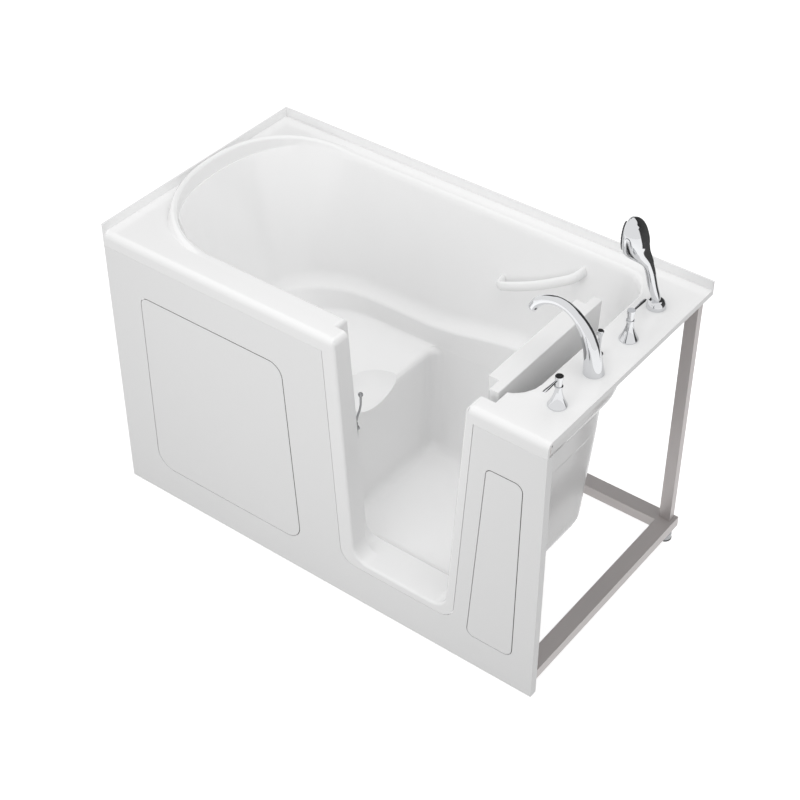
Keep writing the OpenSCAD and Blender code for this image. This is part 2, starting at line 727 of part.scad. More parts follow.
module latch_knob() color("silver") in_place()
    translate([latch_x, hub_y0 + hub_t / 2 + lever_out, latch_z + lever_rise + knob_r / 2]) difference() {
        sphere(r = knob_r);
        translate([0, 0, -knob_r]) cylinder(r = lever_r + latch_play, h = knob_r / 2 + hair);
    }

// Grab bar on the back wall

bar_a = [911, seat_z + 264];
bar_b = [1159, seat_z + 381];
bar_out = 40;
bar_bow = 11;
bar_half_t = 8;
bar_half_w = 14;
bar_slope = [-0.43, 0.25, 0.87];
bar_ends = [[0, -0.15], [0.004, 0.4], [0.022, 0.78], [0.07, 0.96]];
bar_shares = concat(bar_ends, [for (i = [0 : 8]) [0.14 + 0.09 * i, 1]],
    [for (i = [3 : -1 : 0]) [1 - bar_ends[i][0], bar_ends[i][1]]]);

// Path of the bar: straight out of the wall at both ends, bowed slightly down between them
function bar_path() = [for (p = bar_shares)
    let (
        x = bar_a[0] + (bar_b[0] - bar_a[0]) * p[0],
        z = bar_a[1] + (bar_b[1] - bar_a[1]) * p[0] - bar_bow * sin(180 * p[0]))
    [x, back_y(z) - bar_out * p[1], z]];

module grab_bar() color("white") in_place() intersection() {
    swept(bar_path(), [for (p = bar_shares) [bar_half_w, bar_half_t]], bar_slope, 16);
    loft(basin_rings(-hair));
}

// Filler

module foot_profile(r_foot, r_neck, h, bell) {
    polygon(concat(
        [[0, 0], [r_foot, 0], [r_foot, rim_t]],
        [for (i = [1 : 10]) let (t = i / 10)
            [r_neck + (r_foot - r_neck) * pow(1 - t, bell), rim_t + (h - rim_t) * t]],
        [[0, h]]));
}

rim_t = 2.5;
collar_h = 59;
collar_t = 4;
neck_r = 9;
collar_r = 11.5;
spindle_r = 4;
spindle_h = 16;
top_r = 11;
top_t = 4;
turn_play = 0.05;

module tap_body(x, y) translate([x, y, deck_z]) {
    rotate_extrude() foot_profile(tap_foot_r, neck_r, collar_h, 1.8);
    translate([0, 0, collar_h]) cylinder(r = collar_r, h = collar_t);
    translate([0, 0, collar_h]) cylinder(r = spindle_r, h = spindle_h);
    translate([0, 0, -tap_tail]) cylinder(r = tail_r, h = tap_tail);
}
tap_tail = 30;
tail_r = 9;
handle_t = 2.6;
handle_w0 = 3;
handle_w1 = 5.4;
handle_steps = 8;

module tap_lever(x, y, away) translate([x, y, deck_z]) {
    z0 = collar_h + collar_t + hair;
    difference() {
        union() {
            translate([0, 0, z0]) cylinder(r = neck_r, h = tap_h - top_t - z0);
            translate([0, 0, tap_h - top_t - 2 * handle_t]) cylinder(r = top_r, h = top_t + 2 * handle_t);
        }
        translate([0, 0, collar_h]) cylinder(r = spindle_r + turn_play, h = spindle_h + hair);
    }
    path = [for (i = [0 : handle_steps]) let (t = i / handle_steps)
        [0, away * lever_l * (0.08 + 0.92 * t), tap_h - top_t - handle_t - over + over * t]];
    swept(path, [for (i = [0 : handle_steps])
        let (w = handle_w0 + (handle_w1 - handle_w0) * ease(i / handle_steps)) [i == handle_steps ? 0.7 * w : w,
            i == handle_steps ? 0.5 * handle_t : handle_t]], [1, 0, 0], 12);
}

module front_tap_body() color("silver") in_place() tap_body(tap_x, tap_front_y);
module back_tap_body() color("silver") in_place() tap_body(tap_x, back_tap_y);
module front_tap_lever() color("silver") in_place() tap_lever(tap_x, tap_front_y, -1);
module back_tap_lever() color("silver") in_place() tap_lever(tap_x, back_tap_y, 1);

// Centre line of the spout in shares of its reach and height, with the radius in shares of its foot's
spout_shares = [[0, 0, 1], [0.02, 0.2, 0.94], [0.06, 0.45, 0.86], [0.14, 0.76, 0.68], [0.28, 0.9, 0.6],
    [0.5, 1, 0.56], [0.72, 0.955, 0.53], [0.9, 0.8, 0.51], [1, 0.64, 0.49]];
spout_parts = 3;
spout_x = tap_x + 3;
outlet_r = 8;
outlet_l = 22;
shank_r = 13;
shank_l = 58;

// Smooth curve through a list of points at the place i + t
function through(list, i, t) =
    let (
        n = len(list) - 1,
        a = list[max(0, i - 1)],
        b = list[i],
        c = list[min(n, i + 1)],
        d = list[min(n, i + 2)])
    (2 * b + (c - a) * t + (2 * a - 5 * b + 4 * c - d) * t * t + (3 * b - a - 3 * c + d) * t * t * t) / 2;
function smooth(list, parts) = concat(
    [for (i = [0 : len(list) - 2]) for (k = [0 : parts - 1]) through(list, i, k / parts)],
    [list[len(list) - 1]]);

module spout() color("silver") in_place() translate([spout_x, spout_y, deck_z]) difference() {
    shares = smooth(spout_shares, spout_parts);
    n = len(shares) - 1;
    path = [for (i = [0 : n]) i < 2 ? [0, 0, 2 * rim_t * i] : [-spout_reach * shares[i][0], 0, spout_h * shares[i][1]]];
    tip = unit(path[n] - path[n - 1]);
    union() {
        swept(concat(path, [path[n] + tip * rim_t]),
            concat([for (p = shares) spout_foot_r * [p[2], p[2]]], [spout_foot_r * [0.38, 0.38]]), [0, 1, 0], 24);
        translate([0, 0, -shank_l]) cylinder(r = shank_r, h = shank_l + over);
    }
    translate(path[n] + tip * 2 * rim_t) rotate([0, atan2(-tip.x, -tip.z), 0]) cylinder(r = outlet_r, h = outlet_l);
}

nut_h = 9;
nut_r = 24;
small_nut_h = 8;
small_nut_r = 20;
module big_nut() difference() {
    cylinder(r = nut_r, h = nut_h, $fn = 6);
    translate([0, 0, -over]) cylinder(r = shank_r + turn_play, h = nut_h + 2 * over);
}

module spout_shank_nut() color("goldenrod") in_place()
    translate([spout_x, spout_y, deck_z - shell_t - nut_h]) big_nut();

valve_r = 14;
valve_h = 26;
valve_z = deck_z - shell_t - small_nut_h - 38;
inlet_r = 10.3;
inlet_l = 32;
inlet_in = 10;

module tap_valves() color("goldenrod") in_place()
    for (y = [tap_front_y, back_tap_y]) translate([tap_x, y, valve_z]) {
        difference() {
            union() {
                cylinder(r = valve_r, h = valve_h);
                translate([-inlet_in, 0, 0]) cylinder(r = inlet_r + over, h = valve_h / 2);
            }
            translate([0, 0, deck_z - tap_tail - valve_z]) cylinder(r = tail_r + turn_play, h = valve_h);
        }
        translate([-inlet_in, 0, -inlet_l]) cylinder(r = inlet_r, h = inlet_l + over);
    }

module tap_valve_nuts() color("goldenrod") in_place()
    for (y = [tap_front_y, back_tap_y]) translate([tap_x, y, deck_z - shell_t - small_nut_h]) difference() {
        cylinder(r = small_nut_r, h = small_nut_h, $fn = 6);
        translate([0, 0, -over]) cylinder(r = tail_r + turn_play, h = small_nut_h + 2 * over);
    }

pipe_r = 7;
pipe_z = valve_z + valve_h / 2 - over;

module filler_pipes() color("peru") in_place() {
    for (p = [[tap_front_y + valve_r, spout_y - shank_r], [spout_y + shank_r, back_tap_y - valve_r]])
        translate([tap_x, p[0], pipe_z]) rotate([-90, 0, 0]) cylinder(r = pipe_r, h = p[1] - p[0]);
}

diverter_stem = 4;

module diverter_knob() color("silver") in_place() translate([diverter_x, diverter_y, deck_z]) {
    rotate_extrude() polygon([[0, 2.8], [8, 2.8], [8, 6], [5, 12], [4.2, 26], [5, diverter_h - 22],
        [8.5, diverter_h - 8], [9.5, diverter_h - 5], [9.5, diverter_h - 2], [7.5, diverter_h], [0, diverter_h]]);
    translate([0, 0, -26]) cylinder(r = diverter_stem, h = 30);
}

module diverter_valve() color("goldenrod") in_place() translate([diverter_x, diverter_y, deck_z])
    difference() {
        union() {
            cylinder(r = 12, h = 2.5);
            translate([0, 0, -52]) cylinder(r = 10.5, h = 53);
            translate([0, 0, -shell_t - 7]) cylinder(r = 17, h = 7, $fn = 6);
        }
        translate([0, 0, -42]) cylinder(r = diverter_stem + 0.05, h = 60);
    }

// Hand shower and its holder

holder_h = 24;
holder_top_r = 14;
socket_z = 6;
hose_r = 8;
shower_stem_r = 9;
shower_turn = 31;
face_r = 44;
face_t = 3;
head_r = 48.5;
grip_r = 16;

module shower_holder() color("silver") in_place() translate([shower_x, shower_y, deck_z]) difference() {
    union() {
        rotate_extrude() polygon(concat([[0, 0], [tap_foot_r + over, 0]],
            [for (i = [0 : 8]) let (a = 90 * i / 8)
                [holder_top_r + (tap_foot_r + over - holder_top_r) * cos(a), socket_z + (holder_h - socket_z) * sin(a)]],
            [[0, holder_h]]));
        translate([0, 0, -shank_l / 2]) cylinder(r = shank_r, h = shank_l / 2 + over);
    }
    translate([0, 0, socket_z]) cylinder(r = shower_stem_r + hair, h = holder_h);
    translate([0, 0, -shank_l]) cylinder(r = hose_r, h = shank_l + holder_h / 2);
}

// Centre line of the hand shower in shares of its length, with the radius in shares of the head's:
// straight up from the holder, then over towards the tub to the middle of the spray face
shower_shares = [[0, 0.093, 0.27], [0, 0.13, 0.33], [0, 0.3, 0.33], [0.005, 0.45, 0.335], [0.02, 0.6, 0.37],
    [0.05, 0.72, 0.46], [0.1, 0.81, 0.58], [0.16, 0.865, 0.7], [0.225, 0.88, 0.86], [0.27, 0.87, 0.98],
    [0.3, 0.85, 1], [0.316, 0.8395, 0.97]];

module at_shower() translate([shower_x, shower_y, deck_z]) rotate([0, 0, shower_turn]) children();

module hand_shower() color("silver") in_place() at_shower() {
    path = [for (p = shower_shares) [-shower_l * p[0], 0, shower_l * p[1] + hair]];
    translate([0, 0, socket_z + hair]) cylinder(r = shower_stem_r, h = holder_h);
    swept(path, [for (p = shower_shares) head_r * [p[2], p[2]]], [0, 1, 0], 28);
}

module face_disc() {
    n = len(shower_shares) - 1;
    a = shower_shares[n];
    b = shower_shares[n - 1];
    translate([-shower_l * a[0], 0, shower_l * a[1] + hair])
        rotate([0, atan2(b[0] - a[0], a[1] - b[1]), 0]) cylinder(r = face_r, h = face_t);
}

module shower_face() color("darkgray") in_place() at_shower() face_disc();

module shower_holder_nut() color("goldenrod") in_place()
    translate([shower_x, shower_y, deck_z - shell_t - nut_h]) big_nut();

// Drain, overflow and waste

module drain_flange() color("silver") in_place() translate([drain_x, drain_y, floor_z]) difference() {
    union() {
        rotate_extrude() polygon([[0, 0], [40, 0], [40, 1], [34, 4], [0, 4]]);
        translate([0, 0, -26]) cylinder(r = drain_hole_r - hair, h = 27);
    }
    difference() {
        translate([0, 0, -28]) cylinder(r = 19, h = 40);
        translate([0, 0, -17]) cylinder(r = 8, h = 10);
        translate([-20, -1.5, -16]) cube([40, 3, 8]);
    }
    translate([0, 0, -28]) cylinder(r = 4.05, h = 40);
}

module drain_stopper() color("silver") in_place() translate([drain_x, drain_y, floor_z]) {
    rotate_extrude() polygon([[0, 4.4], [30, 4.4], [30, 6], [24, 9], [12, 11], [0, 11.5]]);
    translate([0, 0, -22]) cylinder(r = 4, h = 27);
}

drain_cup_h = 44;
drain_cup_z = floor_z - shell_t - drain_cup_h;
tail_pipe_r = 19;
tail_pipe_z = 38;
tail_groove_z = drain_cup_z - 6;
cup_r = 30;
cup_t = 4;

module drain_body() color("dimgray") in_place() translate([drain_x, drain_y, 0]) difference() {
    union() {
        translate([0, 0, drain_cup_z]) cylinder(r = cup_r, h = drain_cup_h);
        translate([0, 0, tail_groove_z - over]) cylinder(r = tail_pipe_r - over, h = drain_cup_h);
        translate([0, 0, tail_pipe_z]) cylinder(r = tail_pipe_r, h = tail_groove_z - tail_pipe_z);
        translate([0, 0, waste_z]) rotate([90, 0, 0]) cylinder(r = waste_r, h = drain_spigot);
    }
    translate([0, 0, drain_cup_z + cup_t]) cylinder(r = drain_hole_r, h = drain_cup_h);
    translate([0, 0, tail_pipe_z - over]) cylinder(r = waste_r, h = drain_cup_z - tail_pipe_z + cup_t + 2 * over);
}

drain_spigot = 60;
waste_r = 16;
waste_z = 114;
waste_y = 50;

overflow_wall = front_wall_y(overflow_z) + 0.7;
plate_r = 35;
overflow_plate_t = 8;
spindle_hole_r = 6;
dial_r = 22;
dial_t = 12;
notch_r = 6;
elbow_r = 20;
elbow_l = 52;
elbow_flange_r = 30;
elbow_flange_t = 8;
elbow_play = 0.4;

module overflow_plate() color("silver") in_place()
    translate([overflow_x, overflow_wall, overflow_z]) rotate([-90, 0, 0]) difference() {
        rotate_extrude() polygon([[0, 0], [plate_r, 0], [plate_r, overflow_plate_t * 0.4],
            [plate_r * 0.88, overflow_plate_t], [0, overflow_plate_t]]);
        translate([0, 0, -over]) cylinder(r = spindle_hole_r + turn_play, h = dial_t);
    }

module overflow_knob() color("silver") in_place()
    translate([overflow_x, overflow_wall, overflow_z]) rotate([-90, 0, 0]) {
        translate([0, 0, -elbow_r]) cylinder(r = spindle_hole_r, h = elbow_r + overflow_plate_t + 2 * over);
        translate([0, 0, overflow_plate_t + hair]) difference() {
            cylinder(r = dial_r, h = dial_t);
            for (a = [0 : 60 : 300]) rotate([0, 0, a]) translate([dial_r + notch_r / 2, 0, -over])
                cylinder(r = notch_r, h = dial_t + 2 * over);
        }
    }

module overflow_elbow() color("dimgray") in_place()
    translate([overflow_x, overflow_wall - shell_t, overflow_z]) difference() {
        down = waste_y - overflow_wall + shell_t;
        union() {
            translate([0, -3 * elbow_play, 0]) rotate([90, 0, 0]) cylinder(r = elbow_flange_r, h = elbow_flange_t);
            translate([0, shell_t - hair / 3, 0]) rotate([90, 0, 0])
                cylinder(r = overflow_hole_r - elbow_play, h = shell_t + elbow_flange_t);
            rotate([90, 0, 0]) cylinder(r = elbow_r, h = elbow_l);
            translate([0, down, -2 * elbow_r]) cylinder(r = waste_r, h = 2 * elbow_r);
        }
        translate([0, shell_t, 0]) rotate([90, 0, 0]) cylinder(r = elbow_r * 0.7, h = elbow_l + over);
        translate([0, down, -2 * elbow_r - over]) cylinder(r = waste_r * 0.8, h = 2 * elbow_r);
    }

module waste_pipe() color("dimgray") in_place() {
    translate([overflow_x, waste_y, waste_z]) cylinder(r = waste_r, h = overflow_z - 2 * elbow_r - waste_z);
    translate([overflow_x, waste_y, waste_z]) sphere(r = waste_r);
    translate([overflow_x, waste_y, waste_z]) rotate([0, 90, 0])
        cylinder(r = waste_r, h = drain_x - overflow_x);
    translate([drain_x, waste_y, waste_z]) sphere(r = waste_r);
    translate([drain_x, waste_y, waste_z]) rotate([-90, 0, 0])
        cylinder(r = waste_r, h = drain_y - drain_spigot - waste_y);
}

// Support frame

frame_in = 6;
post_w = 38;
post_d = 25;
bearer_w = 22;
bearer_h = 30;
bearer_gap = 30;
rail_z1 = foot_h + rail_h;
front_rail_y = frame_in;
back_rail_y = tub_w - frame_in - rail_w;
left_rail_x = frame_in;
right_rail_x = tub_l - frame_in - rail_w;
bearer_z = deck_z - shell_t - bearer_h;
left_post_x = shell_t + 1;
right_post_x = right_rail_x + 2;
front_post_y = deck_roll;
back_post_y = back_rail_y + rail_w - post_d - 8;
middle_x = 660;
well_bearers = [840, 1080];

// Rectangular tube, open at its ends, that runs along axis 0, 1 or 2
module box_tube(size, along) difference() {
    cube(size);
    translate([
        along == 0 ? -over : tube_t, along == 1 ? -over : tube_t, along == 2 ? -over : tube_t])
        cube([
            along == 0 ? size.x + 2 * over : size.x - 2 * tube_t,
            along == 1 ? size.y + 2 * over : size.y - 2 * tube_t,
            along == 2 ? size.z + 2 * over : size.z - 2 * tube_t]);
}

module side_rail(x) color("darkgray") in_place() translate([x, front_rail_y, foot_h]) difference() {
    box_tube([rail_w, back_rail_y + rail_w - front_rail_y, rail_h], 1);
    for (y = [foot_in, back_rail_y + rail_w - front_rail_y - foot_in])
        translate([rail_w / 2, y, -over]) cylinder(r = stem_r + hair, h = tube_t + 2 * over);
}

module cross_rail(y) color("darkgray") in_place()
    translate([left_rail_x + rail_w, y, foot_h]) difference() {
        box_tube([right_rail_x - left_rail_x - rail_w, rail_w, rail_h], 0);
        translate([middle_x - left_rail_x - rail_w + rail_w / 2, rail_w / 2, -over])
            cylinder(r = stem_r + hair, h = tube_t + 2 * over);
    }

module left_base_rail() side_rail(left_rail_x);
module right_base_rail() side_rail(right_rail_x);
module front_base_rail() cross_rail(front_rail_y);
module back_base_rail() cross_rail(back_rail_y);
module middle_base_rail() color("darkgray") in_place()
    translate([middle_x, front_rail_y + rail_w, foot_h])
        box_tube([rail_w, back_rail_y - front_rail_y - rail_w, rail_h], 1);

module post(x, y) color("darkgray") in_place() translate([x, y, rail_z1])
    box_tube([post_w, post_d, bearer_z - rail_z1], 2);

module front_left_post() post(left_post_x, front_post_y);
module front_right_post() post(right_post_x, front_post_y);
module back_left_post() post(left_post_x, back_post_y);
module back_right_post() post(right_post_x, back_post_y);

// Top bearers under the deck, on the posts
bearer_x1 = right_post_x + post_w;
bearer_y1 = back_post_y + post_d;
module top_frame() color("darkgray") in_place() translate([0, 0, bearer_z]) {
    translate([left_post_x, bearer_y1 - bearer_w, 0])
        box_tube([bearer_x1 - left_post_x, bearer_w, bearer_h], 0);
    translate([left_post_x, front_post_y, 0])
        box_tube([frame_x0 - bearer_gap - left_post_x, bearer_w, bearer_h], 0);
    translate([frame_x1 + bearer_gap, front_post_y, 0])
        box_tube([bearer_x1 - frame_x1 - bearer_gap, bearer_w, bearer_h], 0);
    for (x = [left_post_x, bearer_x1 - bearer_w])
        translate([x, front_post_y + bearer_w + hair, 0])
            box_tube([bearer_w, bearer_y1 - front_post_y - 2 * bearer_w - 2 * hair, bearer_h], 1);
}

// Bearers under the footwell, with blocks that carry the shell
module footwell_bearers() color("darkgray") in_place() for (x = well_bearers)
    translate([x, front_rail_y + rail_w, foot_h])
        box_tube([rail_w, back_rail_y - front_rail_y - rail_w, rail_h], 1);

block_ys = [205, 510];
module footwell_blocks() color("tan") in_place() for (x = well_bearers) for (y = block_ys)
    translate([x, y - rail_w / 2, rail_z1]) cube([rail_w, rail_w, floor_z - shell_t - rail_z1]);

foot_in = rail_w / 2;
stem_r = 6;
pad_h = 3;
cup_h = 28;
feet = concat(
    [for (x = [left_rail_x + rail_w / 2, right_rail_x + rail_w / 2])
        for (y = [front_rail_y + foot_in, back_rail_y + rail_w - foot_in]) [x, y]],
    [for (y = [front_rail_y + rail_w / 2, back_rail_y + rail_w / 2]) [middle_x + rail_w / 2, y]]);

module at_feet() in_place() for (p = feet) translate([p.x, p.y, 0]) children();

module foot_pads() color("black") at_feet() cylinder(r = foot_r + 1, h = pad_h);

module foot_cups() color("silver") at_feet() translate([0, 0, pad_h]) difference() {
    rotate_extrude() polygon([[0, 0], [foot_r, 0], [foot_r, cup_h - pad_h - 6],
        [foot_r - 4, cup_h - pad_h], [0, cup_h - pad_h]]);
    translate([0, 0, 4]) cylinder(r = stem_r + 0.05, h = cup_h);
}

module foot_stems() color("silver") at_feet() translate([0, 0, pad_h + 4])
    cylinder(r = stem_r, h = rail_z1 - tube_t - 14 - pad_h - 4);

module foot_nuts() color("silver") at_feet() translate([0, 0, foot_h - 8]) difference() {
    cylinder(r = 11, h = 8, $fn = 6);
    translate([0, 0, -over]) cylinder(r = stem_r + 0.05, h = 8 + 2 * over);
}

tub_shell();
front_skirt();
left_access_panel();
right_access_panel();
left_panel_magnets();
right_panel_magnets();
skirt_tabs();
door_panel();
door_seal();
hinge_door_leaf();
hinge_frame_leaf();
hinge_pin();
door_strike();
latch_bracket();
latch_lever();
latch_knob();
grab_bar();
spout();
spout_shank_nut();
front_tap_body();
front_tap_lever();
back_tap_body();
back_tap_lever();
tap_valves();
tap_valve_nuts();
filler_pipes();
diverter_knob();
diverter_valve();
shower_holder();
hand_shower();
shower_face();
shower_holder_nut();
drain_flange();
drain_stopper();
drain_body();
overflow_plate();
overflow_knob();
overflow_elbow();
waste_pipe();
front_base_rail();
back_base_rail();
left_base_rail();
right_base_rail();
middle_base_rail();
front_left_post();
front_right_post();
back_left_post();
back_right_post();
top_frame();
footwell_bearers();
footwell_blocks();
foot_cups();
foot_pads();
foot_stems();
foot_nuts();
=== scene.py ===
# %% [markdown]
# # A walk-in bathtub, dressed for a studio picture
# The solids of the tub come from its CAD model, already at their real size and place. They could
# be drawn again in Blender, but then two models would have to be kept alike. So this lesson keeps
# them: it gives them their finishes, rounds what the eye expects to be soft, draws the two most
# polished castings again as finer skins, and sets up the light and the camera. We start by loading
# the solids and by noting the box that holds them.

# %% Load the solids
import math

import bpy
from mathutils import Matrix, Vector


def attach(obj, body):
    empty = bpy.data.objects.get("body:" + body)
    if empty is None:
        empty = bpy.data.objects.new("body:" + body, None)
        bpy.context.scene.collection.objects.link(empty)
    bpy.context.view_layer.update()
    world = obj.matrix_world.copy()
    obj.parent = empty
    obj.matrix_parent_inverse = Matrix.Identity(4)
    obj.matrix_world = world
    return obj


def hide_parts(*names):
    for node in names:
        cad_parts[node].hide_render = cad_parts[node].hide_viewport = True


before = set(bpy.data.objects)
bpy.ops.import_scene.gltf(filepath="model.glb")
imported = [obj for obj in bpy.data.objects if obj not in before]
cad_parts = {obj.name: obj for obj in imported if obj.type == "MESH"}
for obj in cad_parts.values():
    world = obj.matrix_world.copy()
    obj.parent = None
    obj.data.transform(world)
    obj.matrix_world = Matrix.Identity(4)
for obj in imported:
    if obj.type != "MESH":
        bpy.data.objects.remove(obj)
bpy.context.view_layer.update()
MM = 0.001

# %% [markdown]
# ## Measuring from the tub's own corner
# A fitter reads the sizes of a tub from its front left corner on the floor. The shared frame has
# its origin under the middle of the tub instead. We could write every place in that frame, full of
# half lengths and minus signs. One small function that moves a point there keeps the numbers
# plain.

# %% A point given from the front left corner, in millimetres
TUB_LENGTH = 1524
TUB_DEPTH = 813
DECK_HEIGHT = 936


def from_corner(x, y, z):
    return Vector((x - TUB_LENGTH / 2, y - TUB_DEPTH / 2, z)) * MM


print("deck centre:", tuple(from_corner(TUB_LENGTH / 2, TUB_DEPTH / 2, DECK_HEIGHT)))

# %% [markdown]
# ## Colour
# Paint charts and screens give colours as sRGB hex values, while the renderer mixes light in
# linear values. One function turns the first into the second, so every colour below can be written
# the way a designer writes it.

# %% Hex colour to linear colour


def linear(hex_colour):
    channels = [int(hex_colour[i : i + 2], 16) / 255 for i in (1, 3, 5)]
    lit = [c / 12.92 if c <= 0.04045 else ((c + 0.055) / 1.055) ** 2.4 for c in channels]
    return (*lit, 1.0)


print("mid grey in linear light:", round(linear("#808080")[0], 3))

# %% [markdown]
# ## Building materials
# A material is a small graph of nodes, which can be drawn by hand in the Shader Editor or, as
# here, built by a script that gives the same result each time. Four helpers keep the lesson short:
# one adds a node with its settings and its links, one joins two sockets, one starts a material
# with the few values that never vary over the surface, and one gives the coordinates that patterns
# are laid by.

# %% Helpers for materials


def add(material, kind, settings=None, links=None, **sockets):
    """Adds one node: settings are its attributes, links join sockets, the rest set input values."""
    tree = material.node_tree
    node = tree.nodes.new(kind)
    for name, value in (settings or {}).items():
        setattr(node, name, value)
    for name, value in sockets.items():
        node.inputs[name.replace("_", " ")].default_value = value
    for name, source in (links or {}).items():
        tree.links.new(source, node.inputs[name])
    return node


def link(material, source, target):
    material.node_tree.links.new(source, target)


def start(name, colour, roughness, metallic=0.0, ior=1.5):
    """A new material with a Principled surface, returned with that surface's node."""
    material = bpy.data.materials.new(name)
    material.use_nodes = True
    surface = material.node_tree.nodes["Principled BSDF"]
    surface.inputs["Base Color"].default_value = linear(colour)
    surface.inputs["Roughness"].default_value = roughness
    surface.inputs["Metallic"].default_value = metallic
    surface.inputs["IOR"].default_value = ior
    return material, surface


def place(material, x=1.0, y=1.0, z=1.0):
    """Coordinates in metres from the object's own frame, scaled along each axis by a factor."""
    where = add(material, "ShaderNodeTexCoord")
    return add(
        material, "ShaderNodeMapping", links={"Vector": where.outputs["Object"]}, Scale=(x, y, z)
    ).outputs["Vector"]


print("helpers ready")

# %% [markdown]
# ## Cast acrylic, vacuum formed
# The shell starts as a flat sheet of cast acrylic that is heated and drawn down over a mould. To
# the eye it is white, deep and glassy, with an index of 1.49, and it shows very long, very shallow
# waves where the sheet stretched. Modelled waves would disturb the fit with the parts round them,
# so we add them as a faint bump some 60 mm long. They are what makes a reflection on a real bath
# wobble.

# %% Acrylic
WAVE_SOFTNESS = 0.4


def acrylic(name, colour, roughness, wave_mm, wave_depth_mm):
    material, surface = start(name, colour, roughness, ior=1.49)
    waves = add(
        material, "ShaderNodeTexNoise", links={"Vector": place(material)},
        Scale=1 / (wave_mm * MM), Detail=1.0, Roughness=WAVE_SOFTNESS,
    )
    bump = add(
        material, "ShaderNodeBump", links={"Height": waves.outputs["Fac"]},
        Strength=1.0, Distance=wave_depth_mm * MM,
    )
    link(material, bump.outputs["Normal"], surface.inputs["Normal"])
    return material


shell_acrylic = acrylic("vacuum formed acrylic", "#F7F7F7", 0.15, 60, 0.05)
skirt_acrylic = acrylic("vacuum formed acrylic skirt", "#F1F1F1", 0.22, 80, 0.05)
door_acrylic = acrylic("moulded acrylic door", "#F4F4F4", 0.16, 70, 0.04)
bar_plastic = acrylic("moulded ABS grab bar", "#F4F4F4", 0.25, 40, 0.02)
print("acrylics:", shell_acrylic.name, "/", skirt_acrylic.name)

# %% [markdown]
# ## Chrome and other smooth metals
# The taps are brass castings, polished and plated with chrome: nearly a mirror, a little blue. The
# latch is polished stainless steel, a step darker. Screws and hinges are plated with zinc, the
# valves under the deck are bare brass, and the pipes are copper. An even roughness would look
# drawn rather than used, so it wanders a little in patches of haze about 9 mm across, as fingers
# and water leave it.

# %% Smooth metals
HAZE_MM = 9
LEAST_HAZE, MOST_HAZE = 0.7, 1.5


def smooth_metal(name, colour, roughness):
    material, surface = start(name, colour, roughness, metallic=1.0)
    haze = add(
        material, "ShaderNodeTexNoise", links={"Vector": place(material)},
        Scale=1 / (HAZE_MM * MM), Detail=2.0,
    )
    spread = add(
        material, "ShaderNodeMapRange", links={"Value": haze.outputs["Fac"]},
        To_Min=roughness * LEAST_HAZE, To_Max=roughness * MOST_HAZE,
    )
    link(material, spread.outputs["Result"], surface.inputs["Roughness"])
    return material


chrome = smooth_metal("polished chrome plate", "#DADBDD", 0.05)
stainless = smooth_metal("polished stainless steel", "#A3A4A6", 0.16)
zinc = smooth_metal("zinc plated steel", "#B9BBBC", 0.32)
brass = smooth_metal("machined brass", "#C9A24D", 0.24)
copper = smooth_metal("drawn copper tube", "#C47A52", 0.22)
print("smooth metals:", chrome.name, "/", stainless.name, "/", zinc.name)

# %% [markdown]
# ## Brushed stainless steel
# The frame is square stainless tube. Brushing drags fine scratches along each tube, which blur its
# reflections and scatter part of the light as paint does, so the tube looks grey from every side.
# Real scratches are hundredths of a millimetre wide, too fine for this picture, so we draw them
# about a millimetre wide. A metallic value of about a half stands for the light that they scatter.

# %% Brushed steel along each axis
SCRATCH_MM = 1.2
SCRATCH_STRETCH = 0.01
SCRATCH_DEPTH_MM = 0.05
BRUSHED_METALLIC = 0.55
LEAST_SCRATCHED, MOST_SCRATCHED = 0.75, 1.35


def brushed(name, colour, roughness, along):
    """Scratches run along axis 0, 1 or 2 of the frame."""
    material, surface = start(name, colour, roughness, BRUSHED_METALLIC)
    stretch = [1.0, 1.0, 1.0]
    stretch[along] = SCRATCH_STRETCH
    scratches = add(
        material, "ShaderNodeTexNoise", links={"Vector": place(material, *stretch)},
        Scale=1 / (SCRATCH_MM * MM), Detail=3.0, Roughness=0.6,
    )
    spread = add(
        material, "ShaderNodeMapRange", links={"Value": scratches.outputs["Fac"]},
        To_Min=roughness * LEAST_SCRATCHED, To_Max=roughness * MOST_SCRATCHED,
    )
    bump = add(
        material, "ShaderNodeBump", links={"Height": scratches.outputs["Fac"]},
        Strength=0.35, Distance=SCRATCH_DEPTH_MM * MM,
    )
    link(material, spread.outputs["Result"], surface.inputs["Roughness"])
    link(material, bump.outputs["Normal"], surface.inputs["Normal"])
    return material


steel_x = brushed("brushed stainless steel along X", "#CBC6C5", 0.45, 0)
steel_y = brushed("brushed stainless steel along Y", "#CBC6C5", 0.45, 1)
steel_z = brushed("brushed stainless steel upright", "#CBC6C5", 0.45, 2)
print("brushed metals:", steel_x.name, "/", steel_y.name, "/", steel_z.name)

# %% [markdown]
# ## Rubber, drain pipe, magnets, painted gap shade and wood
# The door seal is a soft silicone section, the feet stand on black rubber, the waste runs in ABS
# pipe, and the blocks under the footwell are pine. The panels' cut sides get a dull grey that is
# painted shade for the gap round them. None of them is polished, so each gets a bump of fine
# grain, a millimetre or more wide so that it shows. Without it they would look painted.

# %% Dull finishes
GRAIN_STRENGTH = 0.6


def grained(name, colour, roughness, grain_mm, depth_mm, ior=1.5, stretch=(1.0, 1.0, 1.0)):
    material, surface = start(name, colour, roughness, ior=ior)
    grain = add(
        material, "ShaderNodeTexNoise", links={"Vector": place(material, *stretch)},
        Scale=1 / (grain_mm * MM), Detail=4.0,
    )
    bump = add(
        material, "ShaderNodeBump", links={"Height": grain.outputs["Fac"]},
        Strength=GRAIN_STRENGTH, Distance=depth_mm * MM,
    )
    link(material, bump.outputs["Normal"], surface.inputs["Normal"])
    return material


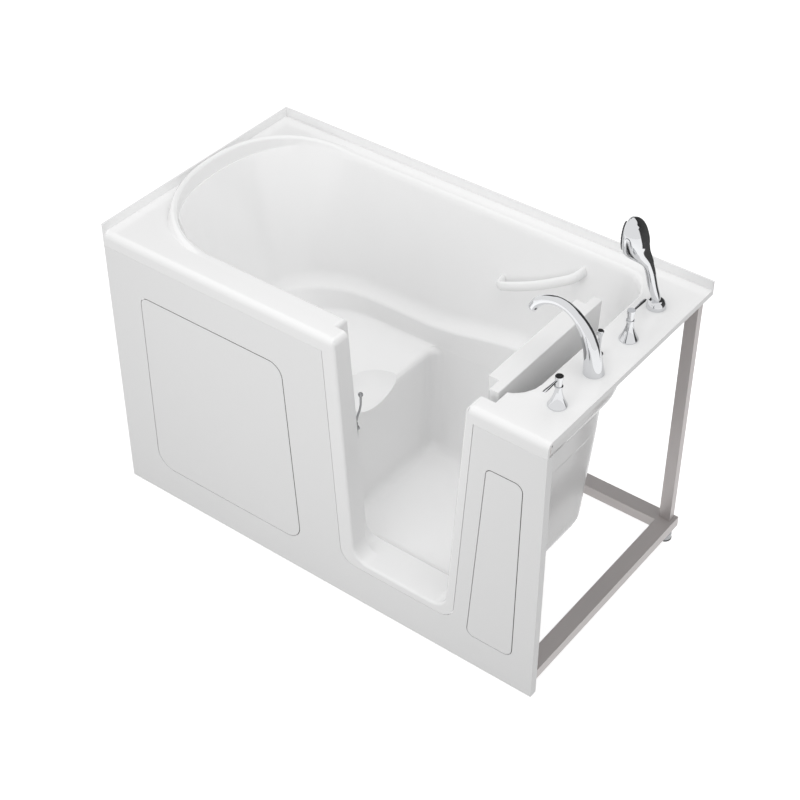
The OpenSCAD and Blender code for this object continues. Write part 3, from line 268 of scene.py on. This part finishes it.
seal_silicone = grained("moulded silicone seal", "#C9CACA", 0.5, 2.0, 0.1, ior=1.41)
pad_rubber = grained("moulded rubber pad", "#141414", 0.62, 1.5, 0.2, ior=1.52)
pipe_abs = grained("extruded ABS pipe", "#1B1B1C", 0.4, 3.0, 0.05, ior=1.53)
magnet_case = grained("moulded magnet case", "#2A2A2C", 0.45, 1.5, 0.05)
face_abs = grained("moulded ABS spray face", "#3A3B3D", 0.35, 1.2, 0.05, ior=1.53)
# Painted shade: this grey on the access panels' side faces and rolled edges stands for the shade in
# the gap round each panel.
panel_gap_shade = grained("painted shade in the panel gap", "#7E7E7C", 0.5, 1.5, 0.05)
pine = grained("sawn pine", "#C9A06A", 0.62, 6.0, 0.3, stretch=(0.08, 1.0, 1.0))
print("dull finishes:", seal_silicone.name, "/", pad_rubber.name, "/", pine.name)

# %% [markdown]
# ## Which finish goes where
# Each solid keeps its shape and takes one finish. A table of finishes with the solids that wear
# them is easier to check against the real tub than an assignment beside each solid.

# %% Table of finishes
FINISHES = {
    shell_acrylic: ["tub_shell"],
    skirt_acrylic: ["front_skirt", "left_access_panel", "right_access_panel"],
    door_acrylic: ["door_panel"],
    bar_plastic: ["grab_bar"],
    seal_silicone: ["door_seal"],
    zinc: [
        "hinge_door_leaf", "hinge_frame_leaf", "hinge_pin", "skirt_tabs", "foot_stems", "foot_nuts",
    ],
    stainless: ["latch_bracket", "latch_lever", "latch_knob", "foot_cups"],
    chrome: [
        "door_strike", "spout", "front_tap_body", "front_tap_lever", "back_tap_body",
        "back_tap_lever", "diverter_knob", "shower_holder", "hand_shower", "drain_flange",
        "drain_stopper", "overflow_plate", "overflow_knob", "diverter_valve",
    ],
    face_abs: ["shower_face"],
    brass: ["tap_valves", "tap_valve_nuts", "spout_shank_nut", "shower_holder_nut"],
    copper: ["filler_pipes"],
    pipe_abs: ["drain_body", "overflow_elbow", "waste_pipe"],
    magnet_case: ["left_panel_magnets", "right_panel_magnets"],
    steel_x: ["front_base_rail", "back_base_rail", "top_frame"],
    steel_y: ["left_base_rail", "right_base_rail", "middle_base_rail", "footwell_bearers"],
    steel_z: ["front_left_post", "front_right_post", "back_left_post", "back_right_post"],
    pine: ["footwell_blocks"],
    pad_rubber: ["foot_pads"],
}
dressed = {node for nodes in FINISHES.values() for node in nodes}
print("in the table:", len(dressed), "left bare:", sorted(set(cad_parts) - dressed))

# %% [markdown]
# ## Curved walls without facets
# A solid arrives as loose patches of triangles, and loose patches shade as facets. Marking each
# edge by hand would take hours, so three modifiers do it. The first welds the patches, the second
# parts them again along the edges that are really sharp, and the third weighs the shading of each
# corner by the area of its faces. A curved wall then reads as one surface, and a flat one stays
# flat. Solids with flat sides only are welded here, and get their rolled edges further down.

# %% Dress each solid
FLAT_SIDED = [
    "front_skirt", "left_access_panel", "right_access_panel", "front_base_rail", "back_base_rail",
    "left_base_rail", "right_base_rail", "middle_base_rail", "front_left_post", "front_right_post",
    "back_left_post", "back_right_post", "top_frame", "footwell_bearers", "footwell_blocks",
]
SHARP_FROM = math.radians(32)
WELD_MM = 0.02


def part_sharp_edges(solid):
    solid.modifiers.new("part sharp edges", "EDGE_SPLIT").split_angle = SHARP_FROM


def even_shading(solid):
    even = solid.modifiers.new("even shading", "WEIGHTED_NORMAL")
    even.mode = "FACE_AREA_WITH_ANGLE"
    even.keep_sharp = True


def dress(node, material):
    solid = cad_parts[node]
    solid.data.materials.clear()
    solid.data.materials.append(material)
    solid.data.polygons.foreach_set("use_smooth", [True] * len(solid.data.polygons))
    solid.modifiers.new("weld patches", "WELD").merge_threshold = WELD_MM * MM
    if node not in FLAT_SIDED:
        part_sharp_edges(solid)
        even_shading(solid)


for material, nodes in FINISHES.items():
    for node in nodes:
        dress(node, material)
print("dressed:", len(dressed), "solids,", len(FLAT_SIDED), "of them with flat sides")

# %% [markdown]
# ## Painted shade in the gaps round the access panels
# Each access panel is cut out of the skirt's sheet with a thin gap all round. The gap reads as a
# fine dark line because shade falls in it, and here that shade is painted: the panel's cut side
# faces are dull and grey. A line painted on the front would look flat from the side, so the side
# faces themselves take the grey: they are the ones that look away from the front.

# %% Painted shade on the panels' side faces
LOOKS_SIDEWAYS = 0.5


# Paints the gap shade: the faces of a panel that look sideways take the grey.
def paint_gap_shade(node):
    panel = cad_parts[node].data
    panel.materials.append(panel_gap_shade)
    for face in panel.polygons:
        face.material_index = 1 if abs(face.normal.y) < LOOKS_SIDEWAYS else 0


for node in ("left_access_panel", "right_access_panel"):
    paint_gap_shade(node)
    print(node, "has", len(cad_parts[node].data.materials), "finishes")

# %% [markdown]
# ## Rolled edges
# No real edge is perfectly sharp: folded sheet, drawn tube and moulded plastic all end in a small
# radius that catches a line of light. Modelling each one is slow, and three modifiers give it
# without touching the solid itself. The first joins the triangles of each flat face, the second
# rolls the edges over, and the third keeps the flat faces looking flat. A rolled edge takes the
# last finish of its solid, which on the access panels is the grey of the painted gap shade.

# %% Roll the edges over
FLAT_WITHIN = math.radians(1)
ROLL_FROM = math.radians(50)
TUBE_RADIUS_MM = 1.5
OTHER_RADIUS_MM = {
    "front_skirt": 0.6, "left_access_panel": 0.8, "right_access_panel": 0.8, "footwell_blocks": 1.0,
}


def roll_edges(node, radius_mm):
    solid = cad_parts[node]
    joined = solid.modifiers.new("join flat faces", "DECIMATE")
    joined.decimate_type = "DISSOLVE"
    joined.angle_limit = FLAT_WITHIN
    rolled = solid.modifiers.new("roll edges", "BEVEL")
    rolled.width = radius_mm * MM
    rolled.segments = 2
    rolled.limit_method = "ANGLE"
    rolled.angle_limit = ROLL_FROM
    rolled.miter_outer = "MITER_ARC"
    # On the access panels the rolled edges take the grey of the painted gap shade.
    rolled.material = len(solid.data.materials) - 1
    even_shading(solid)


for node in FLAT_SIDED:
    roll_edges(node, OTHER_RADIUS_MM.get(node, TUBE_RADIUS_MM))
print("rolled:", len(FLAT_SIDED), "solids")

# %% [markdown]
# ## Skins over rings
# Chrome shows every facet of what lies under it, and the solids of the spout and the hand shower
# have few facets. Subdividing them would melt their crisp rims. Here both are drawn again as fine
# skins over rings of points, from the same few kinds of size as the solids: a place along the
# middle and a width there. A smooth curve that passes through every row of such a table gives the
# rings between.

# %% A smooth curve through rows


def through(rows, parts):
    """Rows of numbers become more rows on a smooth curve through them."""
    fine = []
    last = len(rows) - 1
    for i in range(last):
        a, b, c, d = (rows[min(max(k, 0), last)] for k in (i - 1, i, i + 1, i + 2))
        for k in range(parts):
            t = k / parts
            fine.append([
                (
                    2 * q + (r - p) * t
                    + (2 * p - 5 * q + 4 * r - w) * t**2
                    + (3 * q - p - 3 * r + w) * t**3
                ) / 2
                for p, q, r, w in zip(a, b, c, d)
            ])
    return fine + [list(rows[-1])]


print("half way from 0 to 1 on the curve:", through([[0], [1]], 2)[1])

# %% Faces between rings


def tube_faces(rings, sides, first=0):
    """A cap on the first ring, a band from each ring to the next, and a cap on the last ring."""
    faces = [tuple(first + sides - 1 - k for k in range(sides))]
    for low in range(first, first + (rings - 1) * sides, sides):
        for k in range(sides):
            j = (k + 1) % sides
            faces.append((low + k, low + j, low + sides + j, low + sides + k))
    faces.append(tuple(first + (rings - 1) * sides + k for k in range(sides)))
    return faces


print("faces of a short square tube:", len(tube_faces(2, 4)))

# %% A skin over rings
UPWARDS = Vector((0, 0, 1))


def mesh_object(name, points, faces, material):
    mesh = bpy.data.meshes.new(name)
    mesh.from_pydata(points, [], faces)
    mesh.materials.append(material)
    made = bpy.data.objects.new(name, mesh)
    bpy.context.scene.collection.objects.link(made)
    return made


def skin(name, rings, material, body, stands_for):
    """A closed skin over rings of points that rides on a body and stands for a solid."""
    points = [point for ring in rings for point in ring]
    piece = mesh_object(name, points, tube_faces(len(rings), len(rings[0])), material)
    piece.data.polygons.foreach_set("use_smooth", [True] * len(piece.data.polygons))
    part_sharp_edges(piece)
    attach(piece, body)
    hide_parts(stands_for)
    return piece


print("ready to skin the castings")

# %% [markdown]
# ## Spout
# The spout is a bent and tapered tube with a rolled lip round its mouth. Blender could sweep a
# circle along a curve, but the taper and the lip need a width for each place. So we walk along the
# centre line, put a circle square to the line at each step, roll the last circles over the lip and
# carry a few back up inside. The rows give shares of the spout's reach, of its height and of its
# foot.

# %% Centre line and lip of the spout
TAP_SETBACK = 70
TAP_LINE = TUB_LENGTH - TAP_SETBACK
SPOUT_X, SPOUT_Y = TAP_LINE + 3, 310
SPOUT_REACH, SPOUT_HEIGHT, SPOUT_FOOT = 196, 182, 28.6
SPOUT_ROWS = [
    [0, 0, 1], [0.025, 0.2, 0.88], [0.055, 0.375, 0.79], [0.094, 0.487, 0.745],
    [0.142, 0.607, 0.68], [0.205, 0.711, 0.6], [0.292, 0.81, 0.535], [0.387, 0.884, 0.5],
    [0.486, 0.933, 0.48], [0.589, 0.953, 0.468], [0.692, 0.941, 0.46], [0.82, 0.888, 0.46],
    [0.93, 0.79, 0.466], [0.985, 0.69, 0.47],
]
LIP_ROWS = [
    (2.5, 0.985), (4.6, 0.92), (5.8, 0.82), (5.8, 0.7), (4.8, 0.62), (2.0, 0.6), (-14.0, 0.6),
]
print("spout rows:", len(SPOUT_ROWS), "lip rows:", len(LIP_ROWS))

# %% Rings of the spout
SIDES = 48
SPOUT_PARTS = 5


def circle(centre, along, radius_mm):
    """Points round a centre, square to a direction in the plane of the spout's bend."""
    across = Vector((0, 1, 0))
    up = along.cross(across).normalized()
    return [
        centre + (across * math.cos(a) + up * math.sin(a)) * radius_mm * MM
        for a in (2 * math.pi * k / SIDES for k in range(SIDES))
    ]


def spout_rings():
    rows = through(SPOUT_ROWS, SPOUT_PARTS)
    line = [
        from_corner(SPOUT_X - SPOUT_REACH * out, SPOUT_Y, DECK_HEIGHT + SPOUT_HEIGHT * rise)
        for out, rise, _ in rows
    ]
    rings = [circle(line[0], UPWARDS, SPOUT_FOOT * rows[0][2])]
    for i in range(1, len(rows)):
        along = (line[min(i + 1, len(line) - 1)] - line[i - 1]).normalized()
        rings.append(circle(line[i], along, SPOUT_FOOT * rows[i][2]))
    mouth, mouth_radius = line[-1], SPOUT_FOOT * rows[-1][2]
    along = (mouth - line[-2]).normalized()
    for out, share in LIP_ROWS:
        rings.append(circle(mouth + along * out * MM, along, mouth_radius * share))
    return rings


spout = skin("smooth_spout", spout_rings(), chrome, "tub", "spout")

# %% [markdown]
# ## Hand shower
# The handle leaves its holder, leans a little towards the tub and swells into a long dome with a
# flat face. It could be sculpted, but a table keeps it easy to correct. Rings at rising heights
# suit it: each row gives a height over the deck, how far the middle has moved towards the tub,
# half the thickness behind and before that middle, and half the width. A wide ring is squarer in
# front than behind, which makes the face flat, and a narrow one is round.

# %% Table of the hand shower
SHOWER_X, SHOWER_Y = TAP_LINE - 15, 650
SHOWER_FOOT = from_corner(SHOWER_X, SHOWER_Y, DECK_HEIGHT)
SHOWER_TURN = math.radians(14)
TOWARDS = Vector((-math.cos(SHOWER_TURN), -math.sin(SHOWER_TURN), 0))
ACROSS = Vector((-TOWARDS.y, TOWARDS.x, 0))
STEM_ROWS = [[6, 0, 8.8, 8.8, 8.8], [23, 1, 8.8, 8.8, 8.8]]
SHOWER_ROWS = [
    [23.5, 1, 12.4, 12.4, 12.4], [40, 6, 13.5, 13.5, 13.4], [66, 15, 14.3, 14.3, 14],
    [105, 25, 14.5, 14.5, 14.5], [128, 33, 15.5, 16.5, 17], [141, 42, 21, 25, 22],
    [152, 56, 30, 34, 28], [165, 69, 37, 33, 35], [182, 76, 40, 29, 41.5], [204, 79, 40, 27, 45],
    [229, 81, 34, 24.5, 42], [246, 82, 26, 21, 33], [257, 84, 17, 15.5, 22], [263, 86, 9, 8, 11],
    [266, 87, 2, 2, 2.5],
]
print("hand shower rows:", len(STEM_ROWS) + len(SHOWER_ROWS))

# %% Body of the hand shower
SHOWER_PARTS = 6
ROUND_POWER, BACK_POWER, FRONT_POWER = 2, 2.1, 3.6
ROUND_WIDTH, SQUARER_OVER = 16, 12


def domed(height, out, behind, before, wide):
    """A ring at one height: round behind, flat towards the tub."""
    middle = SHOWER_FOOT + (UPWARDS * height + TOWARDS * out) * MM
    squareness = min(1.0, max(0.0, (wide - ROUND_WIDTH) / SQUARER_OVER))
    ring = []
    for k in range(SIDES):
        a = 2 * math.pi * k / SIDES
        c, d = math.cos(a), math.sin(a)
        thick, most = (before, FRONT_POWER) if c > 0 else (behind, BACK_POWER)
        power = ROUND_POWER + squareness * (most - ROUND_POWER)
        grow = (abs(c) ** power + abs(d) ** power) ** (-1 / power)
        ring.append(middle + (TOWARDS * thick * c + ACROSS * wide * d) * grow * MM)
    return ring


shower_rings = [domed(*row) for row in STEM_ROWS + through(SHOWER_ROWS, SHOWER_PARTS)]
shower = skin("smooth_hand_shower", shower_rings, chrome, "handset", "hand_shower")
print("hand shower:", len(shower.data.vertices), "points in", len(shower_rings), "rings")

# %% [markdown]
# ## Spray plate
# The plate is a shallow oval dome of dark ABS set into the flat face of the hand shower. A
# squashed sphere would be too round at its rim, so it is one more skin over rings: each row gives
# how far out a ring lies and its share of the plate's full size.

# %% Spray plate
PLATE_UP_MM, PLATE_OUT_MM, PLATE_LEAN = 203, 104.6, 0.05
PLATE_AT = SHOWER_FOOT + (UPWARDS * PLATE_UP_MM + TOWARDS * PLATE_OUT_MM) * MM
PLATE_OUT = (TOWARDS - UPWARDS * PLATE_LEAN).normalized()
PLATE_UP = (UPWARDS + TOWARDS * PLATE_LEAN).normalized()
PLATE_WIDE, PLATE_TALL = 33, 42
PLATE_ROWS = [(-3, 1.0), (1.4, 1.0), (2.0, 0.98), (2.3, 0.93), (2.9, 0.7), (3.3, 0.4), (3.4, 0.04)]


def on_plate(out, share, turn):
    across = ACROSS * PLATE_WIDE * share * math.cos(turn)
    up = PLATE_UP * PLATE_TALL * share * math.sin(turn)
    return PLATE_AT + (PLATE_OUT * out + across + up) * MM


plate_rings = [
    [on_plate(out, share, 2 * math.pi * k / SIDES) for k in range(SIDES)]
    for out, share in PLATE_ROWS
]
plate = skin("spray_plate", plate_rings, face_abs, "handset", "shower_face")
print("spray plate:", len(plate.data.vertices), "points")

# %% [markdown]
# ## Nozzles
# The nozzles are short soft pegs that can be rubbed clean of lime. They are moulded as one mat of
# silicone behind the plate, so here too they are one mesh. They stand in oval rings that follow
# the plate, and each peg is three small rings of points with a cap at either end.

# %% Mat of nozzles
NOZZLE_RINGS = [(0.2, 6), (0.42, 12), (0.64, 18), (0.85, 24)]
NOZZLE_PROFILE = [(-1.0, 1.5), (1.2, 1.2), (1.6, 0.8)]
NOZZLE_SIDES = 8
CROWN_MM, CROWN_FALL_MM = 3.3, 1.3


def peg(centre):
    """Points of one nozzle: each row of its profile gives a distance out and a radius."""
    turns = [2 * math.pi * j / NOZZLE_SIDES for j in range(NOZZLE_SIDES)]
    return [
        centre + (PLATE_OUT * out + (ACROSS * math.cos(a) + PLATE_UP * math.sin(a)) * radius) * MM
        for out, radius in NOZZLE_PROFILE for a in turns
    ]


points, faces = [], []
for share, count in NOZZLE_RINGS:
    for k in range(count):
        faces += tube_faces(len(NOZZLE_PROFILE), NOZZLE_SIDES, first=len(points))
        points += peg(on_plate(CROWN_MM - CROWN_FALL_MM * share, share, 2 * math.pi * k / count))
nozzles = mesh_object("spray_nozzles", points, faces, seal_silicone)
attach(nozzles, "handset")
print("nozzles:", sum(count for _, count in NOZZLE_RINGS))

# %% [markdown]
# ## Rays that see plain white
# A white object on white needs a background that is white in the picture, but that doesn't flood
# the object with light. Blender's Light Path node tells what kind of ray has arrived. Rays from
# the camera, off a mirror or through glass will meet plain white, and the rays that light the
# object will meet something greyer. The floor and the world both use this switch.

# %% Switch for rays


def seen_rays(holder):
    """One for rays from the camera, off a mirror or through glass, and nought for all others."""
    rays = add(holder, "ShaderNodeLightPath")
    mirrored = add(
        holder, "ShaderNodeMath", {"operation": "MAXIMUM"},
        {0: rays.outputs["Is Camera Ray"], 1: rays.outputs["Is Glossy Ray"]},
    )
    seen = add(
        holder, "ShaderNodeMath", {"operation": "MAXIMUM"},
        {0: mirrored.outputs["Value"], 1: rays.outputs["Is Transmission Ray"]},
    )
    return seen.outputs["Value"]


print("switch ready")

# %% [markdown]
# ## Floor
# The floor has to vanish towards the camera and still hold the object's shadow. It is a pale grey
# to the rays that light the tub. A ray that is seen meets a glowing share and a lit share added
# together: in the open they pass plain white, and only under the tub, where the lit share goes, is
# there a shade left. A plane that catches nothing but shadow would lose it in reflections.

# %% Floor and its material
FLOOR_SIZE_M = 40
FLOOR_COLOUR, FLOOR_ROUGHNESS = "#ACACAC", 0.9
FLOOR_GLOW = 0.80
FLOOR_LIT = "#C4C4C4"


def floor_material():
    material, surface = start("pale floor", FLOOR_COLOUR, FLOOR_ROUGHNESS)
    surface.inputs["Specular IOR Level"].default_value = 0.0
    glow = add(material, "ShaderNodeEmission", Strength=FLOOR_GLOW, Color=(1, 1, 1, 1))
    lit = add(material, "ShaderNodeBsdfDiffuse", Color=linear(FLOOR_LIT))
    both = add(
        material, "ShaderNodeAddShader",
        links={0: glow.outputs["Emission"], 1: lit.outputs["BSDF"]},
    )
    pick = add(
        material, "ShaderNodeMixShader",
        links={0: seen_rays(material), 1: surface.outputs["BSDF"], 2: both.outputs["Shader"]},
    )
    output = material.node_tree.nodes["Material Output"]
    link(material, pick.outputs["Shader"], output.inputs["Surface"])
    return material


half = FLOOR_SIZE_M / 2
corners = [(-half, -half, 0), (half, -half, 0), (half, half, 0), (-half, half, 0)]
floor = mesh_object("floor", corners, [(0, 1, 2, 3)], floor_material())
print("floor:", floor.dimensions.x, "m square")

# %% [markdown]
# ## World
# White plastic is shaped by gentle differences of light. A white world would fill every hollow and
# leave the tub flat. So the world that lights it is a little grey, while the camera and the
# mirrors see it as plain white.

# %% World
FILL_STRENGTH = 0.66
world = bpy.data.worlds.new("studio")
bpy.context.scene.world = world
world.use_nodes = True
backdrop = world.node_tree.nodes["Background"]
backdrop.inputs["Color"].default_value = (1, 1, 1, 1)
brightness = add(
    world, "ShaderNodeMapRange", links={"Value": seen_rays(world)}, To_Min=FILL_STRENGTH, To_Max=1.0
)
link(world, brightness.outputs["Result"], backdrop.inputs["Strength"])
print("world:", world.name, "fill", FILL_STRENGTH)

# %% [markdown]
# ## Lamps
# Two large soft lamps model the forms. The one overhead lights the deck, the seat and the floor of
# the footwell, and the one in front lights the skirt and reaches into the doorway. A sun would
# give hard shadows that a catalogue picture doesn't have. The lamps are kept out of mirrors,
# because a lamp in the chrome would be a hard white patch.

# %% Lamps
OVERHEAD = {
    "at_m": (0.3, 0.3, 3.6), "aim_m": (0.1, 0.1, 0.5), "size_m": (2.6, 2.2), "watts": 26.3,
}
FRONT = {
    "at_m": (-0.1, -2.3, 1.45), "aim_m": (0, 0, 0.55), "size_m": (1.8, 1.4), "watts": 13.8,
}


def softbox(name, at_m, aim_m, size_m, watts):
    light = bpy.data.lights.new(name, "AREA")
    light.shape = "RECTANGLE"
    light.size, light.size_y = size_m
    light.energy = watts
    lamp = bpy.data.objects.new(name, light)
    lamp.location = at_m
    lamp.rotation_euler = (Vector(aim_m) - Vector(at_m)).to_track_quat("-Z", "Y").to_euler()
    lamp.visible_glossy = False
    bpy.context.scene.collection.objects.link(lamp)
    return lamp


for name, values in (("overhead light", OVERHEAD), ("front light", FRONT)):
    print("lamp:", softbox(name, **values).name)

# %% [markdown]
# ## Dark screens for the chrome
# Chrome has no colour of its own: it shows what stands round it, and in an all white room it would
# vanish. Photographers hang a dark cloth where the metal should show a dark streak. One screen
# here is a piece of a large sphere behind the tub and above it, and a small one hangs round the
# back of the hand shower. Only reflections see them, so they take no light from the tub.

# %% Dark screens
BACK_SCREEN = {"middle": (0, 0, 0), "radius": 7.0, "side": (-66, 60), "height": (20, 52)}
SHOWER_SCREEN = {
    "middle": (0.68, 0.24, 1.15), "radius": 0.8, "side": (-24, 80), "height": (-34, 40),
}
STEPS = 12
black_cloth, cloth_surface = start("black cloth", "#5A5A5A", 1.0)
cloth_surface.inputs["Specular IOR Level"].default_value = 0.0


def between(limits, i):
    return math.radians(limits[0] + (limits[1] - limits[0]) * i / STEPS)


def dark_screen(name, middle, radius, side, height):
    """Part of a sphere: side goes in degrees from the back to the right, height from level."""
    points = []
    for turn in (between(side, i) for i in range(STEPS + 1)):
        for up in (between(height, j) for j in range(STEPS + 1)):
            away = (math.cos(up) * math.sin(turn), math.cos(up) * math.cos(turn), math.sin(up))
            points.append(Vector(middle) + Vector(away) * radius)
    row = STEPS + 1
    corners = [i * row + j for i in range(STEPS) for j in range(STEPS)]
    faces = [(a, a + 1, a + row + 1, a + row) for a in corners]
    screen = mesh_object(name, points, faces, black_cloth)
    screen.visible_camera = False
    screen.visible_diffuse = False
    screen.visible_shadow = False
    return screen


for name, values in (("back_screen", BACK_SCREEN), ("shower_screen", SHOWER_SCREEN)):
    print("screen:", dark_screen(name, **values).name)

# %% [markdown]
# ## Camera
# The camera's place and lens were worked out from the edges of the tub in the photograph: 37
# degrees round from the front, looking down by 40 degrees, with a lens of about 79 mm on a 36 mm
# sensor. Moving a camera about until the picture looks right would take longer and fit less well.

# %% Camera
CAMERA_MM = (3174.5, -2767.3, 3769.0)
CAMERA_AZIMUTH = 37.29
CAMERA_ELEVATION = 39.98
FOCAL_PIXELS = 1747.8
PICTURE_PIXELS = 800
SENSOR_MM = 36
camera_data = bpy.data.cameras.new("camera")
camera_data.sensor_width = SENSOR_MM
camera_data.lens = SENSOR_MM * FOCAL_PIXELS / PICTURE_PIXELS
camera = bpy.data.objects.new("camera", camera_data)
camera.location = from_corner(*CAMERA_MM)
camera.rotation_euler = (math.radians(90 - CAMERA_ELEVATION), 0, math.radians(CAMERA_AZIMUTH))
bpy.context.scene.collection.objects.link(camera)
bpy.context.scene.camera = camera
bpy.context.scene.view_settings.view_transform = "Standard"
print("lens:", round(camera_data.lens, 2), "mm")
